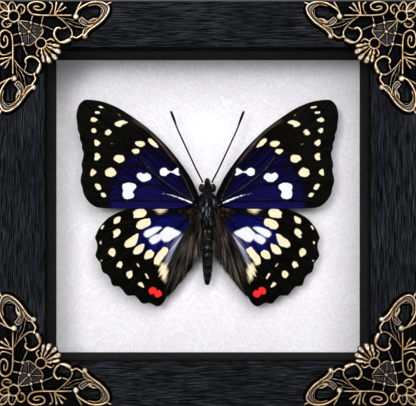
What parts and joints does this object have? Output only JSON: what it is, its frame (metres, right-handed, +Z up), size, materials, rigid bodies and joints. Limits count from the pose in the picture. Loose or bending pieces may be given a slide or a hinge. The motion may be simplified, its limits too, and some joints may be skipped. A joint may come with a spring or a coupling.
{
  "type": "framed butterfly specimen",
  "caption": "Spread butterfly under glass in a deep black wooden frame with filigree brass corners, over textured white paper.",
  "frame": {"origin": "on the surface the frame stands on, in the middle of the frame's width and depth", "axes": "+X to the right seen from the front, +Y from the glazed front to the back, +Z up"},
  "size_m": [0.14, 0.0332, 0.136],
  "materials": {
    "black_wood": "brushed black stain, satin, straight grain",
    "clear_glass": "polished, clear",
    "black_lining": "matt black",
    "white_paper": "matt, fibrous texture",
    "white_foam": "matt foam",
    "brown_board": "matt hardboard",
    "antique_brass": "cast, antiqued, rubbed bright on its high places",
    "zinc_steel": "zinc plated",
    "wing_scales": "satin to matt scales, black-brown with cream, white, blue and red markings",
    "body_hair": "short dark hair",
    "antenna_horn": "satin dark horn"
  },
  "bodies": {
    "root": {"frame_rail_bottom": "black_wood", "frame_rail_top": "black_wood", "frame_rail_left": "black_wood", "frame_rail_right": "black_wood", "glass_pane": "clear_glass", "mount_paper": "white_paper", "foam_board": "white_foam", "back_board": "brown_board", "lining_top": "black_lining", "lining_bottom": "black_lining", "lining_left": "black_lining", "lining_right": "black_lining", "sawtooth_hanger": "zinc_steel", "hanger_nail_left": "zinc_steel", "hanger_nail_right": "zinc_steel", "back_tab_left": "zinc_steel", "back_tab_right": "zinc_steel", "back_tab_bottom": "zinc_steel", "back_tab_top": "zinc_steel", "corner_ornament_bottom_left": "antique_brass", "corner_ornament_bottom_right": "antique_brass", "corner_ornament_top_right": "antique_brass", "corner_ornament_top_left": "antique_brass", "forewing_left": "wing_scales", "hindwing_left": "wing_scales", "forewing_right": "wing_scales", "hindwing_right": "wing_scales", "thorax": "body_hair", "abdomen": "body_hair", "head": "body_hair", "antenna_left": "antenna_horn", "antenna_right": "antenna_horn", "mounting_block": "white_foam"}
  },
  "joints": []
}
